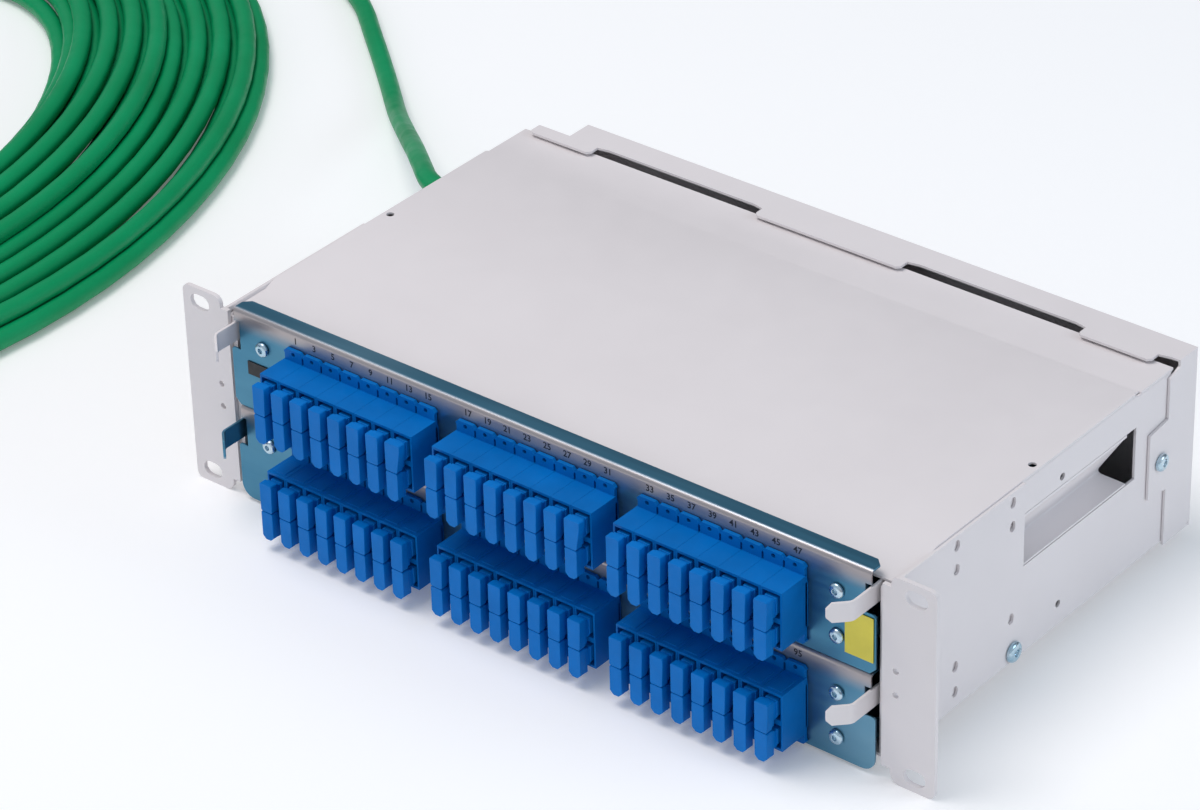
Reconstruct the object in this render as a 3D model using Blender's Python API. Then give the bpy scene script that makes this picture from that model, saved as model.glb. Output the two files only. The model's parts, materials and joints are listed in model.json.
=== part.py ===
"""Rack-mount fibre patch panel: chassis, covers, ears, two slide-out trays with adapters, and a trunk cable.

All driving sizes are in millimetres and are turned into metres when a mesh is made. X runs across the
front, Y runs from the front to the rear, Z is up. Sizes in Y are counted from the front face of the
rack ears, and the whole object is moved by FRAME_SHIFT so that its origin is at its bottom centre.
"""

import math

import bmesh
import bpy
from mathutils import Vector

MM = 0.001

# Rack ears and hole pattern.
EAR_HALF_WIDTH = 244.5
EAR_HEIGHT = 121.5
EAR_THICKNESS = 2.5
SLOT_HALF_SPACING = 232.55
SLOT_RISE = 52.39
SLOT_LENGTH = 13.5
SLOT_HEIGHT = 9.0
FLANGE_DEPTH = 113.5

# Chassis.
WALL = 1.5
CHASSIS_HALF = 215.3
CHASSIS_FRONT = 2.8
CHASSIS_BACK = 247.0
CHASSIS_BOTTOM = 10.3
COVER_TOP = 115.5
STRIP_TOP = 112.7
REAR_STRIP_TOP = 114.2
GAP = 0.3

# Trays and front plates. The upper tray is the lower one moved up by TRAY_PITCH.
TRAY_PITCH = 60.2
PLATE_FRONT = -1.3
PLATE_BACK = 0.0
TRAY_HALF = 204.8
TRAY_DEPTH = 205.0
TRAY_REAR_HALF = 192.0
RAIL_END = 90.0
TRAY_FLOOR = 16.0
CASSETTE_GAP = 0.3

# Screws that hold each front plate to its tray, counted from the lower tray's datum.
PLATE_SCREW_X = 187.0
PLATE_SCREW_RISES = (14.8, 41.2)
PLATE_TOP = 59.8

# Latch levers on both ends of each tray.
LEVER_X = 206.75
LEVER_PIVOT_Y = 28.0
LEVER_LOW = 39.5
LEVER_HIGH = 51.0

# Adapters: three blocks of eight in each tray.
BLOCK_CENTRES = (-117.6, 0.0, 117.6)
ADAPTER_PITCH = 13.0
ADAPTER_MID_Z = 26.5
BODY_HALF_HEIGHT = 16.8
FLANGE_HALF_HEIGHT = 23.5
BODY_FRONT = -22.7
PORT_RISE = 8.4
CAP_FRONT = -32.0
CAP_HALF_WIDTH = 3.85
CAP_HALF_HEIGHT = 8.6
CAP_RISES = (-10.75, 6.75)

# Rear cover.
REAR_BACK = 269.0
REAR_TOP = 117.3
REAR_LEFT = -186.0

# Screws in the side walls, and the cable's way out on the left, as (y, z).
EAR_SCREW = (105.5, 18.4)
REAR_SCREW = (237.5, 63.5)
CABLE_EXIT = (214.0, 78.0)

# Trunk cable and its coil on the floor. The coil is an oval heap of turns, three layers high.
CABLE_D = 12.0
COIL_CENTRE = (-688.4, 126.9)
COIL_HALF_LONG = 288.0
COIL_HALF_SHORT = 192.0
COIL_TILT = math.radians(106.8)
COIL_PITCH = 16.0
TAIL_OUT = -84.0
TAIL_DRIFT = 14.0
TAIL_START = 185.0
TAIL_END = 206.0
TAIL_Z = 6.2
ROUTE = (
    (-200.0, 214.0, 78.0),
    (-222.0, 214.0, 78.0),
    (-244.0, 214.8, 77.7),
    (-266.0, 223.0, 75.2),
    (-289.0, 242.5, 68.7),
    (-318.0, 269.5, 57.0),
    (-363.0, 311.5, 36.0),
    (-412.0, 358.0, 13.5),
    (-455.0, 397.5, 6.9),
    (-498.0, 434.0, 6.7),
    (-542.0, 469.0, 6.7),
    (-598.0, 496.0, 6.8),
    (-663.0, 503.0, 7.0),
    (-730.0, 495.5, 7.6),
    (-789.5, 480.7, 7.6),
)

FRAME_SHIFT = Vector((0.0, -(REAR_BACK + CAP_FRONT) / 2 * MM, 0.0))


def clear_scene():
    for obj in list(bpy.data.objects):
        bpy.data.objects.remove(obj, do_unlink=True)


def material(name, colour, roughness, metallic=0.0):
    mat = bpy.data.materials.new(name)
    mat.use_nodes = True
    shader = mat.node_tree.nodes["Principled BSDF"]
    shader.inputs["Base Color"].default_value = (*colour, 1.0)
    shader.inputs["Roughness"].default_value = roughness
    shader.inputs["Metallic"].default_value = metallic
    return mat


def finish(name, bm, mat, origin=(0.0, 0.0, 0.0), smooth=False, parent=None):
    """Turns a bmesh in millimetres into an object whose own origin is at the given point."""
    bmesh.ops.recalc_face_normals(bm, faces=bm.faces)
    origin = Vector(origin)
    for vert in bm.verts:
        vert.co = (vert.co - origin) * MM
    mesh = bpy.data.meshes.new(name)
    bm.to_mesh(mesh)
    bm.free()
    if smooth:
        mesh.shade_smooth()
        mesh.set_sharp_from_angle(angle=math.radians(35))
    obj = bpy.data.objects.new(name, mesh)
    bpy.context.scene.collection.objects.link(obj)
    if mat:
        mesh.materials.append(mat)
    obj.location = origin * MM + FRAME_SHIFT
    if parent:
        obj.parent = parent
        obj.location = origin * MM + FRAME_SHIFT - parent.location
    return obj


def helper(bm, name="cutter"):
    """A hidden object that another object is cut by or joined with."""
    obj = finish(name, bm, None)
    obj.hide_render = True
    obj.display_type = "WIRE"
    return obj


def boolean(obj, bm, operation):
    tool = helper(bm, f"{obj.name}_{operation.lower()}")
    tool.parent = obj.parent
    if obj.parent:
        tool.location = FRAME_SHIFT - obj.parent.location
    modifier = obj.modifiers.new(operation.title(), "BOOLEAN")
    modifier.operation = operation
    modifier.solver = "EXACT"
    modifier.object = tool


def box(x0, x1, y0, y1, z0, z1, bm=None):
    bm = bm or bmesh.new()
    corners = [(x, y, z) for x in (x0, x1) for y in (y0, y1) for z in (z0, z1)]
    verts = [bm.verts.new(corner) for corner in corners]
    for face in ((0, 1, 3, 2), (4, 6, 7, 5), (0, 4, 5, 1), (2, 3, 7, 6), (0, 2, 6, 4), (1, 5, 7, 3)):
        bm.faces.new([verts[i] for i in face])
    return bm


def prism(outline, axis, low, high, bm=None):
    """An outline extruded along an axis: (x, z) along Y, (y, z) along X, (x, y) along Z."""
    bm = bm or bmesh.new()

    def place(u, v, w):
        if axis == "Y":
            return (u, w, v)
        if axis == "X":
            return (w, u, v)
        return (u, v, w)

    near = [bm.verts.new(place(u, v, low)) for u, v in outline]
    far = [bm.verts.new(place(u, v, high)) for u, v in outline]
    bm.faces.new(near)
    bm.faces.new(list(reversed(far)))
    count = len(outline)
    for i in range(count):
        j = (i + 1) % count
        bm.faces.new((near[j], near[i], far[i], far[j]))
    return bm


def arc(cx, cy, radius, start, end, steps):
    points = []
    for i in range(steps + 1):
        angle = math.radians(start + (end - start) * i / steps)
        points.append((cx + radius * math.cos(angle), cy + radius * math.sin(angle)))
    return points


def disc(cx, cy, radius, sides=12):
    return arc(cx, cy, radius, 0, 360 - 360 / sides, sides - 1)


def rounded(x0, x1, z0, z1, r, steps=3):
    points = arc(x1 - r, z1 - r, r, 0, 90, steps)
    points += arc(x0 + r, z1 - r, r, 90, 180, steps)
    points += arc(x0 + r, z0 + r, r, 180, 270, steps)
    points += arc(x1 - r, z0 + r, r, 270, 360, steps)
    return points


def slot(cx, cz, length, height, steps=5):
    r = height / 2
    reach = length / 2 - r
    return arc(cx + reach, cz, r, -90, 90, steps) + arc(cx - reach, cz, r, 90, 270, steps)


def mirrored(outline, sign):
    return [(sign * u, v) for u, v in outline]


def lathe(profile, centre, axis, sides=12, bm=None):
    """Turns (radius, distance) points about an axis through the centre; both ends lie on the axis."""
    bm = bm or bmesh.new()
    cx, cy, cz = centre

    def place(radius, along, angle):
        a = radius * math.cos(angle)
        b = radius * math.sin(angle)
        if axis == "Y":
            return (cx + a, cy + along, cz + b)
        if axis == "X":
            return (cx + along, cy + a, cz + b)
        return (cx + a, cy + b, cz + along)

    rings = []
    for radius, along in profile:
        if radius == 0:
            rings.append([bm.verts.new(place(0, along, 0))] * sides)
        else:
            turns = [2 * math.pi * i / sides for i in range(sides)]
            rings.append([bm.verts.new(place(radius, along, angle)) for angle in turns])
    for lower, upper in zip(rings, rings[1:]):
        for i in range(sides):
            j = (i + 1) % sides
            corners = []
            for vert in (lower[i], lower[j], upper[j], upper[i]):
                if vert not in corners:
                    corners.append(vert)
            bm.faces.new(corners)
    return bm


def cable(name, knots, mat, per_span=2):
    """A round cable: a curve object through points read from a smooth curve."""
    curve = bpy.data.curves.new(name, "CURVE")
    curve.dimensions = "3D"
    curve.bevel_depth = CABLE_D / 2 * MM
    curve.bevel_resolution = 2
    curve.use_fill_caps = True
    points = smooth_path(knots, per_span)
    spline = curve.splines.new("POLY")
    spline.points.add(len(points) - 1)
    for place, point in zip(spline.points, points):
        place.co = (*(point * MM), 1.0)
    curve.materials.append(mat)
    obj = bpy.data.objects.new(name, curve)
    bpy.context.scene.collection.objects.link(obj)
    obj.location = FRAME_SHIFT
    return obj


def smooth_path(knots, per_span):
    """Points of a Catmull-Rom curve through the knots."""
    points = []
    knots = [Vector(k) for k in knots]
    ends = [knots[0] * 2 - knots[1]] + knots + [knots[-1] * 2 - knots[-2]]
    for i in range(1, len(ends) - 2):
        a, b, c, d = ends[i - 1], ends[i], ends[i + 1], ends[i + 2]
        for k in range(per_span):
            t = k / per_span
            bend = (2 * a - 5 * b + 4 * c - d) * t * t + (3 * b - a - 3 * c + d) * t**3
            points.append(0.5 * (2 * b + (c - a) * t + bend))
    points.append(knots[-1])
    return points


def make_chassis(paint):
    half = CHASSIS_HALF
    obj = finish(
        "chassis_base",
        box(-half, half, CHASSIS_FRONT, CHASSIS_BACK, CHASSIS_BOTTOM, CHASSIS_BOTTOM + WALL),
        paint,
    )
    low = CHASSIS_BOTTOM + 0.4
    side = [
        (CHASSIS_FRONT, low),
        (CHASSIS_BACK, low),
        (CHASSIS_BACK, REAR_STRIP_TOP - WALL - GAP),
        (217.3, REAR_STRIP_TOP - WALL - GAP),
        (214.0, COVER_TOP - WALL - GAP),
        (41.0, COVER_TOP - WALL - GAP),
        (31.6, STRIP_TOP - WALL - GAP),
        (CHASSIS_FRONT, STRIP_TOP - WALL - GAP),
    ]
    for sign in (-1, 1):
        inner, outer = sorted((sign * (half - WALL), sign * half))
        boolean(obj, prism(side, "X", inner, outer), "UNION")
    top = REAR_STRIP_TOP - WALL - GAP
    rear_wall = box(-half + 0.4, half - 0.4, CHASSIS_BACK - WALL, CHASSIS_BACK - 0.2, low, top - 0.4)
    boolean(obj, rear_wall, "UNION")
    for sign in (-1, 1):
        inner, outer = sorted((sign * 209.5, sign * (half - 0.5)))
        lip = box(inner, outer, CHASSIS_FRONT + 0.1, CHASSIS_FRONT + 1.6, low, STRIP_TOP - WALL - GAP - 0.3)
        boolean(obj, lip, "UNION")
    # The window behind the cable trough on the right, the gland hole on the left, and small side holes.
    boolean(obj, box(half - 4, half + 4, 97.0, 216.0, 63.2, 94.6), "DIFFERENCE")
    boolean(obj, prism(disc(*CABLE_EXIT, 12.6, 20), "X", -half - 5, -half + 5), "DIFFERENCE")
    small = None
    for y, z in ((149.0, 99.5), (148.5, 23.0)):
        small = prism(disc(y, z, 2.2, 10), "X", half - 4, half + 4, small)
        small = prism(disc(y, z, 2.2, 10), "X", -half - 4, -half + 4, small)
    boolean(obj, small, "DIFFERENCE")
    # Screw holes for the ear brackets and for the rear cover.
    holes = None
    for sign in (-1, 1):
        ends = sorted((sign * (half - 4), sign * (half + 4)))
        holes = prism(disc(*EAR_SCREW, 2.6, 10), "X", *ends, holes)
    holes = prism(disc(*REAR_SCREW, 2.6, 10), "X", half - 4, half + 4, holes)
    boolean(obj, holes, "DIFFERENCE")
    # Two cable windows in the rear wall, which the rear cover closes.
    windows = box(-150, -60, CHASSIS_BACK - 5, CHASSIS_BACK + 5, 40, 90)
    box(60, 150, CHASSIS_BACK - 5, CHASSIS_BACK + 5, 40, 90, windows)
    boolean(obj, windows, "DIFFERENCE")
    return obj


def make_trough(paint):
    """The pressed cable trough: a sloping back and a shelf with an open rear end."""
    x = CHASSIS_HALF
    outer = [(-0.2, 94.3), (-3.4, 90.6), (-17.6, 68.2), (-17.8, 65.4), (-15.6, 63.9), (-0.2, 63.5)]
    inner = [(-0.2, 64.7), (-15.2, 65.1), (-16.6, 66.0), (-16.5, 67.9), (-2.4, 90.1), (-0.2, 92.6)]
    outline = [(x + u, z) for u, z in outer + inner]
    return finish("cable_trough", prism(outline, "Y", 97.3, 208.0), paint)


def make_top_cover(paint):
    top = [
        (7.0, STRIP_TOP),
        (31.6, STRIP_TOP),
        (40.5, COVER_TOP),
        (214.2, COVER_TOP),
        (217.0, REAR_STRIP_TOP),
        (249.0, REAR_STRIP_TOP),
    ]
    under = [(u, v - WALL) for u, v in reversed(top)]
    obj = finish("top_cover", prism(top + under, "X", -CHASSIS_HALF, CHASSIS_HALF), paint)
    holes = None
    for x in (-210.8, 210.8):
        holes = prism(disc(x, 128.5, 2.2, 12), "Z", 110, 120, holes)
    boolean(obj, holes, "DIFFERENCE")
    notch = box(CHASSIS_HALF - 1.6, CHASSIS_HALF + 3, 214.0, 219.5, 108, 120)
    boolean(obj, notch, "DIFFERENCE")
    return obj


def make_rear_cover(paint):
    right = CHASSIS_HALF + GAP + WALL
    sheet = [(REAR_LEFT, 252.6), (REAR_LEFT, REAR_BACK), (right, REAR_BACK), (right, 252.6)]
    low = REAR_TOP - WALL

    def tab(x0, x1):
        """One top tab, as points from its right root to its left root, with rounded front corners."""
        right_side = [(x1 + 7, 252.6), (x1, 251.2), (x1, 245.4), (x1 - 2, 243.4)]
        return right_side + [(x0 + 2, 243.4), (x0, 245.4), (x0, 251.2)]

    outline = sheet + tab(160.0, 204.5) + [(153.0, 252.6)] + tab(-50.0, 46.5) + [(-57.0, 252.6)]
    outline += [(-158.0, 252.6)] + tab(-208.0, -165.0)[1:] + [(-208.0, 252.6)]
    obj = finish("rear_cover", prism(outline, "Z", low, REAR_TOP), paint)
    boolean(obj, box(REAR_LEFT, right, REAR_BACK - WALL, REAR_BACK, 8.0, low + 0.8), "UNION")
    boolean(obj, box(REAR_LEFT, REAR_LEFT + WALL, 252.6, REAR_BACK - 0.4, 8.0, low + 0.8), "UNION")
    side = [
        (243.8, 8.6),
        (264.0, 8.6),
        (REAR_BACK - 0.3, 12.0),
        (REAR_BACK - 0.3, low + 0.8),
        (252.9, low + 0.8),
        (252.9, 113.0),
        (243.8, 110.5),
        (243.8, 86.0),
        (227.0, 84.0),
        (227.0, 45.0),
        (243.8, 43.5),
    ]
    boolean(obj, prism(side, "X", right - WALL, right), "UNION")
    boolean(obj, box(REAR_LEFT + 0.4, right - 0.4, 248.0, REAR_BACK - 0.4, 8.2, 9.6), "UNION")
    boolean(obj, prism(disc(*REAR_SCREW, 2.6, 10), "X", right - 5, right + 5), "DIFFERENCE")
    return obj


def make_ear(name, sign, paint):
    inner = CHASSIS_HALF + GAP + WALL
    r = 4.0
    outline = arc(EAR_HALF_WIDTH - r, EAR_HEIGHT - r, r, 0, 90, 3)
    outline += arc(inner + 5.1, EAR_HEIGHT - 4.5, 4.5, 90, 180, 3) + [(inner + 0.6, 115.0), (212.5, 115.0)]
    outline += [(212.5, 8.0), (inner + 0.6, 8.0)] + arc(inner + 6.6, 6.0, 6.0, 180, 270, 3)
    outline += arc(EAR_HALF_WIDTH - r, r, r, 270, 360, 3)
    obj = finish(name, prism(mirrored(outline, sign), "Y", 0.0, EAR_THICKNESS), paint)
    low, high = sorted((sign * (CHASSIS_HALF + GAP), sign * inner))
    boolean(obj, box(low, high, 1.0, FLANGE_DEPTH, 12.4, 114.6), "UNION")
    cuts = None
    for rise in (-SLOT_RISE, SLOT_RISE):
        hole = slot(sign * SLOT_HALF_SPACING, EAR_HEIGHT / 2 + rise, SLOT_LENGTH, SLOT_HEIGHT)
        cuts = prism(hole, "Y", -5, EAR_THICKNESS + 5, cuts)
    for z in (67.0, 53.0):
        cuts = prism(disc(sign * 220.9, z, 1.9, 10), "Y", -5, EAR_THICKNESS + 5, cuts)
    boolean(obj, cuts, "DIFFERENCE")
    side = None
    ends = sorted((sign * (CHASSIS_HALF - 3), sign * (inner + 5)))
    side_slots = [(y, z) for y in (55.4, 103.0) for z in (94.6, 108.6)]
    side_slots += [(55.5, 37.0), (55.8, 21.7), (103.6, 39.0)]
    for y, z in side_slots:
        upright = [(y + u, z + v) for v, u in slot(0, 0, 6.5, 4.6, 4)]
        side = prism(upright, "X", *ends, side)
    side = prism(disc(*EAR_SCREW, 2.6, 10), "X", *ends, side)
    boolean(obj, side, "DIFFERENCE")
    return obj


def make_plate(name, lift, upper, steel, parent):
    """A front plate with a lip bent back along its top, two lever notches and three adapter windows."""
    top = PLATE_TOP
    half = [(207.0, top), (207.0, 51.8), (203.5, 51.8), (203.5, 35.0), (208.6, 35.0), (209.8, 33.8)]
    if upper:
        half += [(209.8, 3.6), (206.4, 0.3)]
    else:
        half += arc(201.8, 10.1, 8.0, 0, -90, 4)
    outline = half + [(-x, z) for x, z in reversed(half)]
    outline = [(x, z + lift) for x, z in outline]
    obj = finish(name, prism(outline, "Y", PLATE_FRONT, PLATE_BACK), steel, parent=parent)
    lip = [(206.9, PLATE_FRONT + 0.1), (206.9, 6.0), (203.0, 9.8)]
    lip += [(-x, y) for x, y in reversed(lip)]
    boolean(obj, prism(lip, "Z", top + lift - 1.4, top + lift - 0.1), "UNION")
    windows = None
    middle = ADAPTER_MID_Z + lift
    for x in BLOCK_CENTRES:
        windows = box(x - 51, x + 51, -8, 4, middle - 13.5, middle + 13.5, windows)
    for x in (-PLATE_SCREW_X, PLATE_SCREW_X):
        for z in PLATE_SCREW_RISES:
            windows = prism(disc(x, z + lift, 2.2, 8), "Y", -6, 4, windows)
    boolean(obj, windows, "DIFFERENCE")
    return obj


def make_tray(name, lift, steel, parent):
    """The sliding tray: wide at the front, where it runs on its rails, and narrower behind them."""
    floor = TRAY_FLOOR + lift
    wide, narrow = TRAY_HALF, TRAY_REAR_HALF
    half = [(wide, 18.0), (wide, RAIL_END), (narrow, RAIL_END + 2), (narrow, TRAY_DEPTH)]
    outline = half + [(-x, y) for x, y in reversed(half)]
    obj = finish(name, prism(outline, "Z", floor, floor + 1.2), steel, parent=parent)
    for sign in (-1, 1):
        ends = sorted((sign * (wide - 1.2), sign * wide))
        boolean(obj, box(*ends, 0.3, RAIL_END - 0.2, floor + 0.3, floor + 12), "UNION")
        ends = sorted((sign * (narrow - 1.2), sign * (narrow - 0.1)))
        boolean(obj, box(*ends, RAIL_END + 1.0, TRAY_DEPTH - 0.2, floor + 0.3, floor + 12), "UNION")
        ends = sorted((sign * 178, sign * 203.0))
        boolean(obj, box(*ends, 0.4, 1.9, 6 + lift, 54 + lift), "UNION")
        ends = sorted((sign * 200, sign * (wide - 0.2)))
        boolean(obj, box(*ends, 0.35, 2.0, floor + 0.6, floor + 11.5), "UNION")
        ends = sorted((sign * 201.5, sign * (wide - 0.1)))
        boolean(obj, box(*ends, 22.0, 34.0, floor + 0.5, 50.4 + lift), "UNION")
    rear = box(-narrow + 0.4, narrow - 0.4, TRAY_DEPTH - 1.5, TRAY_DEPTH - 0.3, floor + 0.4, floor + 10)
    boolean(obj, rear, "UNION")
    holes = None
    for x in (-PLATE_SCREW_X, PLATE_SCREW_X):
        for z in PLATE_SCREW_RISES:
            holes = prism(disc(x, z + lift, 2.2, 8), "Y", -4, 8, holes)
    boolean(obj, holes, "DIFFERENCE")
    return obj


def make_rail(name, lift, sign, steel):
    """An L-shaped rail on the chassis wall: the tray's edge rests on its foot."""
    floor = TRAY_FLOOR + lift
    outline = [
        (196.0, floor - 1.6),
        (CHASSIS_HALF - WALL - GAP, floor - 1.6),
        (CHASSIS_HALF - WALL - GAP, floor + 8.0),
        (CHASSIS_HALF - WALL - GAP - 1.2, floor + 8.0),
        (CHASSIS_HALF - WALL - GAP - 1.2, floor - 0.5),
        (196.0, floor - 0.5),
    ]
    return finish(name, prism(mirrored(outline, sign), "Y", 36.0, RAIL_END - 2), steel)


def make_block(name, centre_x, lift, plastic, parent):
    """Eight duplex adapters side by side, moulded with their flange, with sixteen open ports."""
    mid = ADAPTER_MID_Z + lift
    half = 4 * ADAPTER_PITCH - 0.1
    tall = BODY_HALF_HEIGHT
    body = box(centre_x - half, centre_x + half, BODY_FRONT, -2.4, mid - tall, mid + tall)
    obj = finish(name, body, plastic, parent=parent)
    wide, tall = half + 0.2, FLANGE_HALF_HEIGHT
    flange = box(centre_x - wide, centre_x + wide, -3.8, -1.6, mid - tall, mid + tall)
    boolean(obj, flange, "UNION")
    boolean(obj, box(centre_x - 50.6, centre_x + 50.6, -2.8, 14.0, mid - 13.2, mid + 13.2), "UNION")
    ports = None
    for i in range(8):
        x = centre_x + (i - 3.5) * ADAPTER_PITCH
        for rise in (-PORT_RISE, PORT_RISE):
            z = mid + rise
            ports = box(x - 5.3, x + 5.3, BODY_FRONT - 5, -8.0, z - 6.9, z + 6.9, ports)
    boolean(obj, ports, "DIFFERENCE")
    return obj


def make_caps(name, centre_x, lift, plastic, parent):
    """The dust caps of one block: sixteen plugs and grips on a thin carrier strip."""
    mid = ADAPTER_MID_Z + lift
    half = 3.5 * ADAPTER_PITCH + 4.2
    strip = box(centre_x - half, centre_x + half, BODY_FRONT - 2.0, BODY_FRONT - 0.5, mid - 15.5, mid + 15.0)
    obj = finish(name, strip, plastic, origin=(centre_x, BODY_FRONT, mid), parent=parent)
    grips = None
    plugs = None
    for i in range(8):
        x = centre_x + (i - 3.5) * ADAPTER_PITCH
        wide, tall = CAP_HALF_WIDTH, CAP_HALF_HEIGHT
        for rise in CAP_RISES:
            z = mid + rise
            grips = box(x - wide, x + wide, CAP_FRONT, BODY_FRONT - 1.2, z - tall, z + tall, grips)
        for rise in (-PORT_RISE, PORT_RISE):
            z = mid + rise
            plugs = box(x - 3.7, x + 3.7, BODY_FRONT - 1.0, -12.0, z - 4.8, z + 4.8, plugs)
    boolean(obj, grips, "UNION")
    boolean(obj, plugs, "UNION")
    return obj


def make_lever(name, sign, lift, paint, pivot):
    """A latch lever: a strip with a finger end bent inwards by 45 degrees, riveted near its rear end."""
    low, high = LEVER_LOW + lift, LEVER_HIGH + lift
    x = LEVER_X
    plan = [(x - 0.75, 32.0), (x + 0.75, 32.0), (x + 0.75, -16.3)]
    plan += [(x - 9.4, -26.5), (x - 10.5, -25.4), (x - 0.75, -15.7)]
    obj = finish(
        name,
        prism(mirrored(plan, sign), "Z", low, high),
        paint,
        origin=(sign * x, LEVER_PIVOT_Y, (low + high) / 2),
        parent=pivot,
    )
    obj.location = (0, 0, 0)
    # The finger end is chamfered at its two corners.
    for z, way in ((low, -1), (high, 1)):
        edge = [(x - 14, z - way * 3.4), (x - 14, z + way * 4)]
        edge += [(x - 6.0, z + way * 4), (x - 7.6, z + way * 0.01)]
        edge = [(sign * u, v) for u, v in edge]
        tool = prism(edge, "Y", -34, -14)
        boolean_in_pivot(obj, tool, "DIFFERENCE", pivot)
    ends = sorted((sign * (x - 1.5), sign * (x - 0.5)))
    rivet = prism(disc(LEVER_PIVOT_Y, (low + high) / 2, 2.5, 8), "X", *ends)
    boolean_in_pivot(obj, rivet, "UNION", pivot)
    return obj


def boolean_in_pivot(obj, bm, operation, pivot):
    boolean(obj, bm, operation)
    tool = obj.modifiers[-1].object
    tool.parent = pivot
    tool.location = FRAME_SHIFT - pivot.location - pivot.parent.location


def make_screw(name, centre, axis, sign, steel, head=4.2, shank=1.9, length=3.0, height=2.4, parent=None):
    """A pan-head screw with a round recess in its head."""
    profile = [
        (0, height - 1.1),
        (1.3, height - 1.1),
        (1.6, height),
        (head - 1.6, height),
        (head - 0.3, height * 0.55),
        (head, 0.3),
        (head - 0.1, 0.0),
        (shank, 0.0),
        (shank, -length),
        (0, -length),
    ]
    profile = [(radius, sign * along) for radius, along in profile]
    return finish(name, lathe(profile, centre, axis, 12), steel, origin=centre, smooth=True, parent=parent)


def coil_point(degrees, out, height):
    """A point of the coil: degrees from its far tip, and how far outside its middle line it is."""
    turn = math.radians(degrees)
    u = (COIL_HALF_LONG + out) * math.cos(turn)
    v = (COIL_HALF_SHORT + out) * math.sin(turn)
    c, s = math.cos(COIL_TILT), math.sin(COIL_TILT)
    return (COIL_CENTRE[0] + u * c - v * s, COIL_CENTRE[1] + u * s + v * c, height)


def tail_point(degrees):
    """A point of the cable's last stretch, which drifts inwards from the heap of turns."""
    share = (degrees - TAIL_START) / (TAIL_END - TAIL_START)
    return coil_point(degrees, TAIL_OUT - TAIL_DRIFT * share * share, TAIL_Z)


def first_turn_bulge(degrees):
    """How far the first turn still lies outside the others while it closes in on them."""
    share = min(max((degrees - 20.0) / 140.0, 0.0), 1.0)
    return COIL_PITCH * (1 - share * share * (3 - 2 * share))


def make_coil(name, jacket):
    """The whole heap of turns as one oval ring, with a step where the cable joins it."""
    section = ((70, 1.6), (71, 8), (68, 14), (62, 23), (8, 34), (-52, 34), (-66, 24), (-71, 10), (-70, 1.6))
    stations = [0.0] + [7.5 * i for i in range(1, 48)] + [359.3]
    bm = bmesh.new()
    rings = []
    for degrees in stations:
        bulge = first_turn_bulge(degrees)
        ring = []
        for out, z in section:
            reach = out + (bulge if out > 60 else 0.0)
            ring.append(bm.verts.new(coil_point(degrees, reach, z)))
        rings.append(ring)
    count = len(section)
    for i in range(len(rings)):
        lower, upper = rings[i], rings[(i + 1) % len(rings)]
        for k in range(count):
            m = (k + 1) % count
            bm.faces.new((lower[k], lower[m], upper[m], upper[k]))
    return finish(name, bm, jacket, smooth=True)


def make_tie(name, degrees, strap):
    """A strap around the heap of turns, as a closed band."""
    inner = [(72.5, 1.4), (73, 8), (70, 15.5), (63.5, 25), (8.5, 35.5)]
    inner += [(-53, 35.5), (-67.5, 25), (-73, 10), (-72.5, 1.4)]
    outer = [(73.7, 0.2), (74.2, 8.2), (71.2, 15.9), (64.2, 26.2), (8.7, 36.8)]
    outer += [(-53.5, 36.8), (-68.6, 25.6), (-74.2, 10.2), (-73.7, 0.2)]
    middle = Vector(coil_point(degrees, 0, 0))
    along = Vector(coil_point(degrees + 0.5, 0, 0)) - Vector(coil_point(degrees - 0.5, 0, 0))
    along.normalize()
    across = Vector((along.y, -along.x, 0))
    bm = bmesh.new()
    loops = []
    for step in (-7.0, 7.0):
        for outline in (inner, outer):
            foot = middle + along * step
            loops.append([bm.verts.new(foot + across * u + Vector((0, 0, z))) for u, z in outline])
    near_in, near_out, far_in, far_out = loops
    for i in range(len(inner)):
        j = (i + 1) % len(inner)
        bm.faces.new((near_in[i], near_in[j], near_out[j], near_out[i]))
        bm.faces.new((far_in[i], far_in[j], far_out[j], far_out[i]))
        bm.faces.new((near_in[i], near_in[j], far_in[j], far_in[i]))
        bm.faces.new((near_out[i], near_out[j], far_out[j], far_out[i]))
    return finish(name, bm, strap)


def make_cassette(level, lift, plastic, parent):
    """A splice cassette on the tray floor: a shallow dish with a comb and an anchor bar."""
    floor = TRAY_FLOOR + lift + 1.2 + CASSETTE_GAP
    dish = prism(rounded(-95, 95, 70, 190, 18, 4), "Z", floor, floor + 14)
    obj = finish(f"{level}_splice_cassette", dish, plastic, parent=parent)
    pocket = prism(rounded(-92, 92, 73, 187, 15, 4), "Z", floor + 1.5, floor + 20)
    boolean(obj, pocket, "DIFFERENCE")
    comb = box(-30, 30, 84, 96, floor + 1.0, floor + 11)
    for i in range(5):
        left = -30 + i * 12.5
        box(left, left + 3, 110, 150, floor + 1.0, floor + 9, comb)
    boolean(obj, comb, "UNION")


def make_fanout(level, lift, plastic, parent):
    """The fan-out block, where the trunk cable's fibres part: three open grooves."""
    floor = TRAY_FLOOR + lift + 1.2 + CASSETTE_GAP
    block = box(-185, -150, 150, 185, floor, floor + 12)
    obj = finish(f"{level}_fanout_block", block, plastic, parent=parent)
    groove = None
    for i in range(3):
        groove = box(-190, -140, 156 + i * 9, 161 + i * 9, floor + 7, floor + 16, groove)
    boolean(obj, groove, "DIFFERENCE")


def make_labels(black, yellow, parent):
    """Two plain stickers on the upper front plate."""
    front, back = PLATE_FRONT - 0.6, PLATE_FRONT - GAP
    finish("blank_label", box(-198.5, -177, front, back, 82.6, 90.6), black, parent=parent)
    finish("yellow_sticker", box(191.8, 208.8, front, back, 67.6, 93.4), yellow, parent=parent)


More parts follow.
